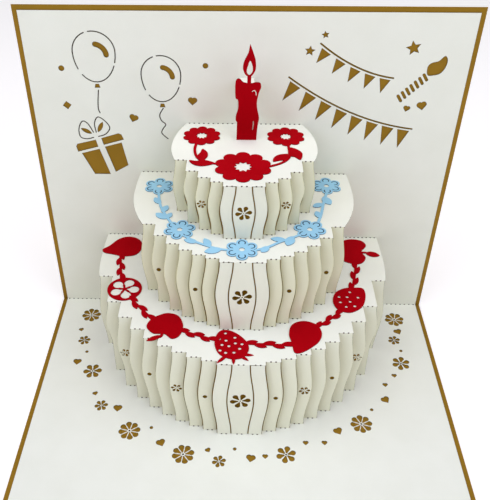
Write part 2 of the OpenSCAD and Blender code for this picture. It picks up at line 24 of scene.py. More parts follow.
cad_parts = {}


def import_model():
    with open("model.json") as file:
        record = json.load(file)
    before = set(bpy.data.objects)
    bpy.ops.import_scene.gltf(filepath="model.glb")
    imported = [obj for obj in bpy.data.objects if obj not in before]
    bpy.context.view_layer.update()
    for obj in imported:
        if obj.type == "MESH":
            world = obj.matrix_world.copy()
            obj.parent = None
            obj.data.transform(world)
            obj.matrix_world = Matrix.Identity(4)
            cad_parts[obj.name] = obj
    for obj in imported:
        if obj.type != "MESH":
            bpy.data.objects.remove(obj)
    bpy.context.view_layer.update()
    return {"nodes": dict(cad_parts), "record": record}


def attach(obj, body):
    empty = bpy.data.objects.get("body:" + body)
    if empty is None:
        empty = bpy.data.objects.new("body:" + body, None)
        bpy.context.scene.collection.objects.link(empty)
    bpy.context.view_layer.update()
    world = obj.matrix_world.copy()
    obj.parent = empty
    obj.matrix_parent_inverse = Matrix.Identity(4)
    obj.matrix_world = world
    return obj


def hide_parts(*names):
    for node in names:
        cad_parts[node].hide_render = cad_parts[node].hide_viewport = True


LOG = logging.getLogger("pop_up_card")
MM = 0.001

# Corners closer than this are one corner
SAME_CORNER = 1e-7
# Cosine over which two faces lie in one plane
SAME_PLANE = 0.9999
# Cosine over which a face looks to a given side
SAME_SIDE = 0.99
# Share of the normal along Y over which a face stands upright, to the front or to the back
UPRIGHT = 0.7
# Distance within which a corner lies on a face
ON_FACE = 0.01 * MM
# Distance within which a point belongs to a strip, in its depth and past its ends
ON_STRIP = 0.5 * MM
PAST_STRIP = 1 * MM
# The front strip and its neighbours share one depth, so strips under this number are in front
FRONT_STRIPS = 2
# Noise values between which paper goes from its darkest to its palest, and from dull to shiny
TONE_RANGE = (0.32, 0.68)
FIBRE_RANGE = (0.3, 0.7)

WHITE = (1.0, 1.0, 1.0, 1.0)

RGB = tuple[float, float, float]
Point = tuple[float, float, float]


class Surface(IntEnum):
    """Material slots of a cut sheet: its two faces, and the edge that the cutter leaves."""

    FACE = 0
    EDGE = 1


class CutKind(IntEnum):
    """Material slot of a kind of cut's dark marks: painted shade in and round a line, char with
    painted shadow round a wider cut.
    """

    LINE = 0
    WIDE = 1


class Facing(Enum):
    """Side that a face of a sheet shows, with its upward direction when seen from there."""

    FRONT = ((0.0, -1.0, 0.0), (0.0, 0.0, 1.0))
    TOP = ((0.0, 0.0, 1.0), (0.0, 1.0, 0.0))

    @property
    def normal(self) -> Vector:
        """Direction that the face looks in."""
        return Vector(self.value[0])

    @property
    def up(self) -> Vector:
        """Upward direction in the face."""
        return Vector(self.value[1])


class FoldKind(Enum):
    """How a perforated fold lies: over an outer corner, or in an inner one."""

    CREST = "crest"
    VALLEY = "valley"


def add_node(tree: NodeTree, kind: str, **settings: object) -> Node:
    """Adds a node and sets its plain properties.

    Args:
        tree: The tree that gets the node.
        kind: The node's type name.
        settings: Properties of the node, by name.

    Returns:
        The new node.
    """
    node = tree.nodes.new(kind)
    for name, value in settings.items():
        setattr(node, name, value)
    return node


def add_object(name: str, data: ID) -> Object:
    """Puts a new object into the scene.

    Args:
        name: Name of the object.
        data: Its mesh, light or camera.

    Returns:
        The object, at the origin.
    """
    made = bpy.data.objects.new(name, data)
    bpy.context.scene.collection.objects.link(made)
    return made


def add_numbers(tree: NodeTree, way: str, *labels: str) -> None:
    """Gives a group sockets for numbers.

    Args:
        tree: The group's tree.
        way: INPUT or OUTPUT.
        labels: Names of the sockets, in order.
    """
    for label in labels:
        tree.interface.new_socket(name=label, in_out=way, socket_type="NodeSocketFloat")


def set_inputs(node: Node, values: dict[str, object]) -> None:
    """Sets inputs that nothing is linked to.

    Args:
        node: The node.
        values: What each input gets, by its name.
    """
    for label, value in values.items():
        node.inputs[label].default_value = value


def split(tree: NodeTree, vector: NodeSocket) -> NodeOutputs:
    """Splits a vector.

    Args:
        tree: The tree that gets the node.
        vector: The output with the vector.

    Returns:
        The outputs X, Y and Z.
    """
    node = add_node(tree, "ShaderNodeSeparateXYZ")
    tree.links.new(vector, node.inputs["Vector"])
    return node.outputs


def calculate(tree: NodeTree, operation: str, *values: NodeSocket | float) -> NodeSocket:
    """Adds one step of a calculation.

    Args:
        tree: The tree that gets the node.
        operation: The name of the step.
        values: What goes in, as plain numbers or as outputs of other nodes.

    Returns:
        The output with the result.
    """
    node = add_node(tree, "ShaderNodeMath", operation=operation)
    for socket, value in zip(node.inputs, values):
        if isinstance(value, NodeSocket):
            tree.links.new(value, socket)
        else:
            socket.default_value = value
    return node.outputs[0]


@dataclass(frozen=True)
class PaperFibre:
    """Shader group that gives paper its cloudy formation, its fibres and its gentle cockle.

    Attributes:
        cloud_scale: Fineness of the clouds, in waves per metre.
        cockle_scale: Fineness of the slow waves in the sheet.
        cloud_share: Share of the clouds in the tone.
        fibre_share: Share of the fibres in the tone.
    """

    cloud_scale: float = 70.0
    cockle_scale: float = 22.0
    cloud_share: float = 0.55
    fibre_share: float = 0.45

    def build(self) -> ShaderNodeTree:
        """Builds the group once.

        Returns:
            The node group, with named inputs for what differs between papers.
        """
        tree = bpy.data.node_groups.new("paper_fibre", "ShaderNodeTree")
        add_numbers(tree, "INPUT", "Fibre Scale", "Fibre Depth", "Cockle Depth")
        add_numbers(tree, "OUTPUT", "Tone", "Fibre", "Height")
        link = tree.links.new
        step = partial(calculate, tree)
        given = add_node(tree, "NodeGroupInput").outputs
        place = add_node(tree, "ShaderNodeTexCoord").outputs["Object"]

        fibre, cloud, cockle = (add_node(tree, "ShaderNodeTexNoise") for _ in range(3))
        set_inputs(fibre, {"Detail": 5.0, "Roughness": 0.7, "Distortion": 1.2})
        set_inputs(cloud, {"Detail": 3.0, "Scale": self.cloud_scale})
        set_inputs(cockle, {"Detail": 1.0, "Scale": self.cockle_scale})
        for noise in (fibre, cloud, cockle):
            link(place, noise.inputs["Vector"])
        link(given["Fibre Scale"], fibre.inputs["Scale"])

        clouds = step("MULTIPLY", cloud.outputs["Fac"], self.cloud_share)
        tone = step("MULTIPLY_ADD", fibre.outputs["Fac"], self.fibre_share, clouds)
        rise = step("MULTIPLY", cockle.outputs["Fac"], given["Cockle Depth"])
        height = step("MULTIPLY_ADD", fibre.outputs["Fac"], given["Fibre Depth"], rise)

        result = add_node(tree, "NodeGroupOutput").inputs
        link(tone, result["Tone"])
        link(fibre.outputs["Fac"], result["Fibre"])
        link(height, result["Height"])
        return tree


@dataclass(frozen=True)
class SlitCharAndShade:
    """Shader group for a strip's scorched slits, its stain with painted shade, and the way that the
    strip curls and bends.

    Each face of a strip carries three attributes. slit_in and slit_out hold the place of the slit
    on that side, how far above the strip's fold its swell begins, and one over its length. strip
    holds the swell, the height of the fold, and the strength of the stain and painted shade, which
    is 0 on other faces. That mark is partly the yellow stain that the cutter leaves by the slits
    and partly painted shade, the warm tone of the strips in their own shade.

    Attributes:
        narrowest: Least width of a strip, so that its curl stays finite off the strips.
    """

    narrowest: float = 1 * MM

    def side(self, tree: NodeTree, label: str, drop: NodeSocket, swell: NodeSocket) -> NodeSocket:
        """Follows one slit down the strip.

        Args:
            tree: The group's tree.
            label: Name of the attribute that holds the slit.
            drop: Distance under the strip's fold.
            swell: Sideways swell of the slit.

        Returns:
            The slit's distance from the middle of the card.
        """
        step = partial(calculate, tree)
        stored = add_node(tree, "ShaderNodeAttribute", attribute_name=label)
        slit = split(tree, stored.outputs["Vector"])
        share = step("MULTIPLY", step("ADD", drop, slit["Y"]), slit["Z"])
        within = step("MINIMUM", step("MAXIMUM", share, 0.0), 1.0)
        wave = step("SINE", step("MULTIPLY", within, math.pi))
        bulge = step("MULTIPLY", step("MULTIPLY", wave, wave), swell)
        return step("ADD", slit["X"], bulge)

    def build(self) -> ShaderNodeTree:
        """Builds the group once.

        Returns:
            The node group, with named inputs for its widths and depths.
        """
        tree = bpy.data.node_groups.new("slit_char_and_shade", "ShaderNodeTree")
        add_numbers(tree, "INPUT", "Kerf", "Stain And Shade Width", "Char Width", "Even Stain And Shade")
        add_numbers(tree, "INPUT", "Curl", "Bend", "Bend Length")
        add_numbers(tree, "OUTPUT", "Stain And Shade", "Char", "Height")
        link = tree.links.new
        step = partial(calculate, tree)
        given = add_node(tree, "NodeGroupInput").outputs
        result = add_node(tree, "NodeGroupOutput").inputs

        place = split(tree, add_node(tree, "ShaderNodeTexCoord").outputs["Object"])
        stored = add_node(tree, "ShaderNodeAttribute", attribute_name="strip")
        strip = split(tree, stored.outputs["Vector"])
        is_strip = step("GREATER_THAN", strip["Z"], 0.0)
        across = step("ABSOLUTE", place["X"])
        drop = step("SUBTRACT", strip["Y"], place["Z"])
        outer = step("SUBTRACT", self.side(tree, "slit_out", drop, strip["X"]), across)
        inner = step("SUBTRACT", across, self.side(tree, "slit_in", drop, strip["X"]))
        near = step("SUBTRACT", step("MINIMUM", outer, inner), given["Kerf"])

        masks = {}
        for label in ("Stain And Shade", "Char"):
            fade = add_node(tree, "ShaderNodeMapRange", interpolation_type="SMOOTHSTEP")
            set_inputs(fade, {"To Min": 1.0, "To Max": 0.0})
            link(near, fade.inputs["Value"])
            link(given[f"{label} Width"], fade.inputs["From Max"])
            masks[label] = fade.outputs["Result"]
        # Cutter's stain by the slits, with painted shade spread over the whole strip
        stain_and_shade_mask = step("MAXIMUM", masks["Stain And Shade"], given["Even Stain And Shade"])
        link(step("MULTIPLY", stain_and_shade_mask, strip["Z"]), result["Stain And Shade"])
        link(step("MULTIPLY", masks["Char"], is_strip), result["Char"])

        width = step("MAXIMUM", step("ADD", outer, inner), self.narrowest)
        share = step("DIVIDE", step("SUBTRACT", outer, inner), width)
        curl = step("MULTIPLY", step("MULTIPLY", share, share), given["Curl"])
        down = step("DIVIDE", drop, given["Bend Length"])
        left = step("MAXIMUM", step("SUBTRACT", 1.0, down), 0.0)
        bend = step("MULTIPLY", step("MULTIPLY", left, left), given["Bend"])
        fall = step("MULTIPLY", step("ADD", curl, bend), is_strip)
        link(step("MULTIPLY", fall, -1.0), result["Height"])
        return tree


@dataclass(frozen=True)
class PaperFinish:
    """Finish of one kind of card or paper.

    Attributes:
        name: Name of the material.
        dark: Colour where the sheet is densest, in linear values.
        light: Colour where the sheet is palest.
        rough: Roughness between the fibres and on them.
        metallic: Share of metal, for pearlescent card.
        specular: Level of the surface gloss.
        fibre_scale: Fineness of the fibres, in waves per metre.
        fibre_depth: Relief of the fibres.
        cockle_depth: Relief of the slow waves in the sheet.
    """

    name: str
    dark: RGB
    light: RGB
    rough: tuple[float, float]
    metallic: float = 0.0
    specular: float = 0.25
    fibre_scale: float = 2600.0
    fibre_depth: float = 1.0e-5
    cockle_depth: float = 1.0e-4

    def work(
        self, tree: NodeTree, colour: NodeSocket, height: NodeSocket
    ) -> tuple[NodeSocket, NodeSocket]:
        """Gives the sheet's colour and relief as they are, for a sheet that is only cut."""
        return colour, height

    def material(self, fibre: ShaderNodeTree) -> Material:
        """Builds the material on the shared fibre group.

        Args:
            fibre: The group that gives tone, fibres and relief.

        Returns:
            The finished material.
        """
        made = bpy.data.materials.new(self.name)
        made.use_nodes = True
        made.diffuse_color = (*self.light, 1.0)
        tree = made.node_tree
        link = tree.links.new
        shader = tree.nodes["Principled BSDF"]
        set_inputs(shader, {"Metallic": self.metallic, "Specular IOR Level": self.specular})
        paper = add_node(tree, "ShaderNodeGroup", node_tree=fibre)
        set_inputs(paper, {
            "Fibre Scale": self.fibre_scale,
            "Fibre Depth": self.fibre_depth,
            "Cockle Depth": self.cockle_depth,
        })

        shade = add_node(tree, "ShaderNodeMapRange")
        set_inputs(shade, dict(zip(("From Min", "From Max"), TONE_RANGE)))
        link(paper.outputs["Tone"], shade.inputs["Value"])
        colour = add_node(tree, "ShaderNodeMix", data_type="RGBA")
        set_inputs(colour, {"A": (*self.dark, 1.0), "B": (*self.light, 1.0)})
        link(shade.outputs["Result"], colour.inputs["Factor"])
        worked, height = self.work(tree, colour.outputs["Result"], paper.outputs["Height"])
        link(worked, shader.inputs["Base Color"])

        rough = add_node(tree, "ShaderNodeMapRange")
        set_inputs(rough, dict(zip(("From Min", "From Max"), FIBRE_RANGE)))
        set_inputs(rough, dict(zip(("To Min", "To Max"), self.rough)))
        link(paper.outputs["Fibre"], rough.inputs["Value"])
        link(rough.outputs["Result"], shader.inputs["Roughness"])

        bump = add_node(tree, "ShaderNodeBump")
        set_inputs(bump, {"Strength": 1.0, "Distance": 1.0})
        link(height, bump.inputs["Height"])
        link(bump.outputs["Normal"], shader.inputs["Normal"])
        return made


@dataclass(frozen=True)
class SlitFinish(PaperFinish):
    """Finish of a sheet that the cutter has stained and charred along its slits, with painted shade
    on its strips.

    Attributes:
        stain_and_shade: Colour that the stain and the painted shade take off the sheet.
        char: Colour of the charred rim.
        kerf: Half the width of a slit.
        stain_and_shade_width: Reach of the stain and painted shade from the slit.
        char_width: Reach of the char.
        even_stain_and_shade: Share of the stain and painted shade that lies all over a strip.
        curl: How far a strip's rims fall back from its middle.
        bend: How far its upper end falls back under the fold.
        bend_length: Length of that end.
    """

    # The stain is partly the cutter's yellowing by the slits and partly painted shade, the warm
    # tone of the strips in their own shade
    stain_and_shade: RGB = (0.93, 0.90, 0.70)
    char: RGB = (0.10, 0.092, 0.035)
    kerf: float = 0.2 * MM
    stain_and_shade_width: float = 1.6 * MM
    char_width: float = 0.1 * MM
    even_stain_and_shade: float = 0.7
    curl: float = 0.3 * MM
    bend: float = 0.7 * MM
    bend_length: float = 6 * MM

    def work(
        self, tree: NodeTree, colour: NodeSocket, height: NodeSocket
    ) -> tuple[NodeSocket, NodeSocket]:
        """Lays the cutter's stain with painted shade, and char, over the sheet's colour, and curls
        its strips.

        Args:
            tree: The material's tree.
            colour: The sheet's own colour.
            height: The sheet's own relief.

        Returns:
            The stained and shaded colour, and the relief with the curl.
        """
        slits = add_node(tree, "ShaderNodeGroup", node_tree=SlitCharAndShade().build())
        set_inputs(slits, {
            "Kerf": self.kerf,
            "Stain And Shade Width": self.stain_and_shade_width,
            "Char Width": self.char_width,
            "Even Stain And Shade": self.even_stain_and_shade,
            "Curl": self.curl,
            "Bend": self.bend,
            "Bend Length": self.bend_length,
        })
        # Multiplies in the stain and painted shade, then mixes in the char
        for label, blend, tint in (("Stain And Shade", "MULTIPLY", self.stain_and_shade), ("Char", "MIX", self.char)):
            layer = add_node(tree, "ShaderNodeMix", data_type="RGBA", blend_type=blend)
            layer.inputs["B"].default_value = (*tint, 1.0)
            tree.links.new(slits.outputs[label], layer.inputs["Factor"])
            tree.links.new(colour, layer.inputs["A"])
            colour = layer.outputs["Result"]
        return colour, calculate(tree, "ADD", height, slits.outputs["Height"])


# Roughness between the fibres and on them
CARD_ROUGH = (0.72, 0.88)
PEARL_ROUGH = (0.45, 0.6)
PAPER_ROUGH = (0.75, 0.9)
CHAR_ROUGH = (0.8, 0.92)
CUT_SHADE_ROUGH = (0.85, 0.95)

WHITE_CARD = SlitFinish(
    "white_card", (0.885, 0.885, 0.735), (0.93, 0.93, 0.785), CARD_ROUGH, cockle_depth=1.6e-4
)
GOLD_CARD = PaperFinish(
    "gold_card", (0.285, 0.152, 0.0075), (0.35, 0.188, 0.011), PEARL_ROUGH,
    metallic=0.25, specular=0.2, fibre_scale=3800.0, fibre_depth=1.2e-5, cockle_depth=5.0e-5,
)
RED_PAPER = PaperFinish(
    "red_paper", (0.375, 0.0, 0.003), (0.45, 0.0, 0.005), PAPER_ROUGH, specular=0.03
)
BLUE_PAPER = PaperFinish(
    "blue_paper", (0.325, 0.615, 0.78), (0.375, 0.68, 0.82), PAPER_ROUGH, specular=0.08
)
SCORCHED_CARD = PaperFinish(
    "scorched_card", (0.10, 0.072, 0.017), (0.22, 0.17, 0.05), CHAR_ROUGH, specular=0.1
)
SCORCHED_RED = PaperFinish(
    "scorched_red", (0.13, 0.001, 0.003), (0.24, 0.002, 0.006), CHAR_ROUGH, specular=0.1
)
SCORCHED_BLUE = PaperFinish(
    "scorched_blue", (0.05, 0.12, 0.18), (0.11, 0.22, 0.31), CHAR_ROUGH, specular=0.1
)
# Painted shade in the fine line and vein cuts, and in the rims round the lines
CUT_SHADE = PaperFinish(
    "cut_shade", (0.045, 0.034, 0.022), (0.085, 0.065, 0.042), CUT_SHADE_ROUGH, specular=0.05
)
VEIN = PaperFinish("vein", (0.03, 0.06, 0.09), (0.06, 0.10, 0.14), CUT_SHADE_ROUGH, specular=0.05)
# Painted shade of the perforation holes, with the brown of their scorched walls
PERFORATION = PaperFinish(
    "perforation", (0.07, 0.05, 0.03), (0.14, 0.10, 0.06), CUT_SHADE_ROUGH, specular=0.05
)


class Finishes:
    """All materials of the card, made once on one fibre group."""

    def __init__(self) -> None:
        """Makes the fibre group."""
        self.fibre = PaperFibre().build()
        self.made: dict[str, Material] = {}

    def get(self, finish: PaperFinish) -> Material:
        """Gives the material of a finish, made on first use.

        Args:
            finish: The finish that is wanted.

        Returns:
            Its material.
        """
        if finish.name not in self.made:
            self.made[finish.name] = finish.material(self.fibre)
        return self.made[finish.name]


@dataclass(frozen=True)
class CutSheet:
    """A cut and folded sheet, shown as a merged copy of its node with scorched edges.

    Attributes:
        node: The node that the copy stands for.
        thickness: Thickness of the sheet.
        face: Finish of its faces.
        edge: Finish of its cut edges.
        strips: Whether it has strips, which carry their slits for the finish.
        skin: Depth under a face, in thicknesses, from which its twin is looked for.
        reach: Distance, in thicknesses, within which the twin lies.
    """

    node: str
    thickness: float
    face: PaperFinish
    edge: PaperFinish
    strips: bool = False
    skin: float = 0.02
    reach: float = 1.15

    @staticmethod
    def spread_faces(work: BMesh) -> None:
        """Counts what continues a face in its own plane as face too, as at the end of a fold.

        Args:
            work: The sheet, with its faces told from its cut edges.
        """
        queue = [face for face in work.faces if face.material_index == Surface.FACE]
        while queue:
            face = queue.pop()
            for other in {twin for edge in face.edges for twin in edge.link_faces}:
                flat = other.normal.dot(face.normal) > SAME_PLANE
                if flat and other.material_index == Surface.EDGE:
                    other.material_index = Surface.FACE
                    queue.append(other)

    @staticmethod
    def mark_strips(work: BMesh) -> None:
        """Stores the slits beside each strip on the strip's faces.

        Args:
            work: The sheet that holds the tiers.
        """
        vectors = work.faces.layers.float_vector
        layers = [vectors.new(label) for label in ("slit_in", "slit_out", "strip")]
        for face in work.faces:
            if abs(face.normal.y) < UPRIGHT:
                continue
            place = face.calc_center_median() - CARD.fold
            for tier in TIERS:
                strip = tier.strip_at(place)
                if strip is not None:
                    for layer, value in zip(layers, tier.slits(strip, CARD.fold.z)):
                        face[layer] = value

    def mesh(self, source: Mesh) -> Mesh:
        """Merges the node's mesh and tells its faces from its cut edges.

        A face has its twin one thickness behind it, and a cut edge has not.

        Args:
            source: The node's mesh, which stays as it is.

        Returns:
            The merged mesh, with a material slot for each face.
        """
        work = bmesh.new()
        work.from_mesh(source)
        bmesh.ops.remove_doubles(work, verts=work.verts, dist=SAME_CORNER)
        near = BVHTree.FromBMesh(work)
        for face in work.faces:
            face.smooth = False
            start = face.calc_center_median() - face.normal * (self.thickness * self.skin)
            hit = near.ray_cast(start, -face.normal, self.thickness * self.reach)[0]
            face.material_index = Surface.EDGE if hit is None else Surface.FACE
        self.spread_faces(work)
        if self.strips:
            self.mark_strips(work)
        made = bpy.data.meshes.new(f"{self.node}_cut")
        work.to_mesh(made)
        work.free()
        return made

    def dress(self, node: Object, slot: str, finishes: Finishes) -> Object:
        """Builds the copy, gives it its finishes and puts it in the node's place.

        Args:
            node: The node's object.
            slot: The record's material slot of the node; not used.
            finishes: The card's materials.

        Returns:
            The copy.
        """
        made = self.mesh(node.data)
        made.materials.append(finishes.get(self.face))
        made.materials.append(finishes.get(self.edge))
        copy = add_object(f"{self.node}_sheet", made)
        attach(copy, "root")
        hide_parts(self.node)
        return copy


@dataclass(frozen=True)
class FineCuts:
    """Painted shade in the fine line cuts of one face of a sheet, and a dark rim round its cuts.

    Each fine line gets a plug of painted shade below the face, where the narrow cut lies in shade,
    and a rim of painted shade. The rim round a smaller wider cut is partly the cutter's char and
    partly painted shadow along the cut's edge.

    Attributes:
        name: Name of the piece.
        facing: The side that the face shows.
        level: Distance of the face from the origin on that side, or nothing for all levels.
        cut_shade: Finish of the painted shade in a line, and of its rim.
        char: Finish of the rim of a wider cut, charred and painted with shadow.
        largest: Area under which a wider cut has a charred and shaded rim too.
        widest: Width under which a cut counts as a line.
        depth: Depth of the painted shade under the face.
        layer: Thickness of the plug of painted shade.
        line_rim: Width of the rim of painted shade round a line.
        wide_rim: Width of the charred and shaded rim of a wider cut.
        proud: How far the rim stands out of the face.
    """

    name: str
    facing: Facing
    level: float | None
    cut_shade: PaperFinish
    char: PaperFinish
    largest: float = 0.0
    widest: float = 0.42 * MM
    depth: float = 0.24 * MM
    layer: float = 0.04 * MM
    line_rim: float = 0.06 * MM
    wide_rim: float = 0.1 * MM
    proud: float = 0.005 * MM

    def on_face(self, edge: BMEdge) -> bool:
        """Tells whether an edge parts the face from a cut.

        Args:
            edge: An edge of the sheet.

        Returns:
            Whether it is part of a rim.
        """
        if sorted(face.material_index for face in edge.link_faces) != [Surface.FACE, Surface.EDGE]:
            return False
        outward = self.facing.normal
        face = min(edge.link_faces, key=lambda side: side.material_index)
        if face.normal.dot(outward) < SAME_SIDE:
            return False
        if self.level is None:
            return True
        return all(abs(v.co.dot(outward) - self.level) < ON_FACE for v in edge.verts)

    def rims(self, sheet: Mesh) -> list[list[Vector]]:
        """Walks round the cuts in the face.

        Args:
            sheet: The sheet's merged mesh.

        Returns:
            The corners of each closed rim, in order.
        """
        work = bmesh.new()
        work.from_mesh(sheet)
        work.verts.ensure_lookup_table()
        ways: dict[int, list[int]] = {}
        for edge in work.edges:
            if self.on_face(edge):
                for here, there in (edge.verts, reversed(edge.verts)):
                    ways.setdefault(here.index, []).append(there.index)
        found: list[list[Vector]] = []
        seen: set[int] = set()
        for first in sorted(ways, key=lambda v: len(ways[v])):
            rim: list[Vector] = []
            here = first
            while here not in seen:
                seen.add(here)
                rim.append(work.verts[here].co.copy())
                here = next((there for there in ways[here] if there not in seen), first)
            if len(rim) > 2:
                found.append(rim)
        work.free()
        return found

    def area(self, rim: list[Vector]) -> float:
        """Gives the area in a rim, with a minus where the rim runs clockwise.

        Args:
            rim: The corners of the rim.

        Returns:
            The area.
        """
        flat = [(corner.x, corner.dot(self.facing.up)) for corner in rim]
        return sum(a[0] * b[1] - b[0] * a[1] for a, b in zip(flat, flat[1:] + flat[:1])) / 2

    def is_line(self, rim: list[Vector]) -> bool:
        """Tells a fine line from a wider cut by its area over half its length.

        Args:
            rim: The corners of the rim.

        Returns:
            Whether the cut is a fine line.
        """
        length = sum((b - a).length for a, b in zip(rim, rim[1:] + rim[:1]))
        return 2 * abs(self.area(rim)) / length < self.widest

    def widened(self, rim: list[Vector], width: float) -> list[Vector]:
        """Gives a rim that is wider all round.

        Args:
            rim: The corners of the rim, anticlockwise from the front.
            width: How much wider it is on each side.

        Returns:
            The corners of the wider rim.
        """
        found: list[Vector] = []
        for k, corner in enumerate(rim):
            along = rim[(k + 1) % len(rim)] - rim[k - 1]
            found.append(corner + along.cross(self.facing.normal).normalized() * width)
        return found

    def shell(
        self, work: BMesh, loops: list[tuple[list[Vector], float]], kind: CutKind, ring: bool
    ) -> list[list[BMVert]]:
        """Joins loops of corners by bands of faces, from each loop to the next.

        Args:
            work: The mesh of the piece.
            loops: The corners of each loop, and its height over the face.
            kind: The kind of cut, which gives the material.
            ring: Whether the last loop is joined to the first.

        Returns:
            The new corners of each loop.
        """
        outward = self.facing.normal
        made = [
            [work.verts.new(corner + outward * height) for corner in loop] for loop, height in loops
        ]
        for lower, upper in zip(made, made[1:] + made[:1] if ring else made[1:]):
            for k in range(len(lower)):
                band = work.faces.new((lower[k - 1], lower[k], upper[k], upper[k - 1]))
                band.material_index = kind
        return made

    def mark(self, work: BMesh, rim: list[Vector]) -> None:
        """Lays a thin dark ring round one cut, and a plug of painted shade in it if it is a line.
        The ring round a line is painted shade; round a wider cut it is char with painted shadow.

        Args:
            work: The mesh of the piece.
            rim: The corners of the rim, anticlockwise from the front.
        """
        kind = CutKind.LINE if self.is_line(rim) else CutKind.WIDE
        if kind is CutKind.LINE:
            plug = [(rim, -self.depth - self.layer), (rim, -self.depth)]
            bottom, top = self.shell(work, plug, kind, ring=False)
            work.faces.new(top).material_index = kind
            work.faces.new(bottom[::-1]).material_index = kind
        elif self.area(rim) > self.largest:
            return
        wide = self.widened(rim, self.line_rim if kind is CutKind.LINE else self.wide_rim)
        ring = [(rim, 0.0), (wide, 0.0), (wide, self.proud), (rim, self.proud)]
        self.shell(work, ring, kind, ring=True)

    def build(self, sheet: Object, slot: str, finishes: Finishes) -> Object:
        """Lays the painted shade and the charred and shaded rims of all cuts in the face.

        Args:
            sheet: The sheet's dressed copy.
            slot: The record's material slot of the sheet; not used.
            finishes: The card's materials.

        Returns:
            The finished piece.
        """
        work = bmesh.new()
        for rim in self.rims(sheet.data):
            self.mark(work, rim if self.area(rim) > 0 else rim[::-1])
        made = bpy.data.meshes.new(self.name)
        work.to_mesh(made)
        work.free()
        made.materials.append(finishes.get(self.cut_shade))
        made.materials.append(finishes.get(self.char))
        cut_shade = add_object(self.name, made)
        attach(cut_shade, "root")
        return cut_shade


@dataclass(frozen=True)
class Crease:
    """A run of perforations along a fold.

    Attributes:
        kind: Whether the fold is an outer or an inner corner.
        start: The place of the first dash.
        end: The place of the last dash.
        dashes: The number of dashes.
    """

    kind: FoldKind
    start: Point
    end: Point
    dashes: int


def paired_creases(start: float, end: float, z: float, pitch: float) -> list[Crease]:
    """Gives the perforations of a fold in the back panel, on both sides of the middle.

    Args:
        start: Distance of the first dash from the middle.
        end: Distance of the last dash.
        z: Height of the fold over the floor panel.
        pitch: Pitch of the dashes.

    Returns:
        One crease for each side.
    """
    count = 1 + round((end - start) / pitch)
    return [
        Crease(FoldKind.VALLEY, (way * start, 0.0, z), (way * end, 0.0, z), count)
        for way in (-1, 1)
    ]


@dataclass(frozen=True)
class Card:
    """The two panels of the card, with the fold between them.

    Attributes:
        panel: Length of each cover panel.
        cover: Thickness of the cover.
        sheet: Thickness of the insert.
        fold_clear: Distance of the first dash of the main fold from the middle.
        fold_reach: Distance of its last dash.
        fold_pitch: Pitch of its dashes.
    """

    panel: float = 150 * MM
    cover: float = 0.4 * MM
    sheet: float = 0.3 * MM
    fold_clear: float = 65 * MM
    fold_reach: float = 87 * MM
    fold_pitch: float = 2.2 * MM

    @property
    def fold(self) -> Vector:
        """Inner corner of the insert's fold at the middle of the card."""
        return Vector((0.0, self.panel / 2 - self.cover - self.sheet, self.cover + self.sheet))

    def creases(self) -> list[Crease]:
        """Gives the perforations of the main fold, on both sides of the cake."""
        return paired_creases(self.fold_clear, self.fold_reach, 0.0, self.fold_pitch)


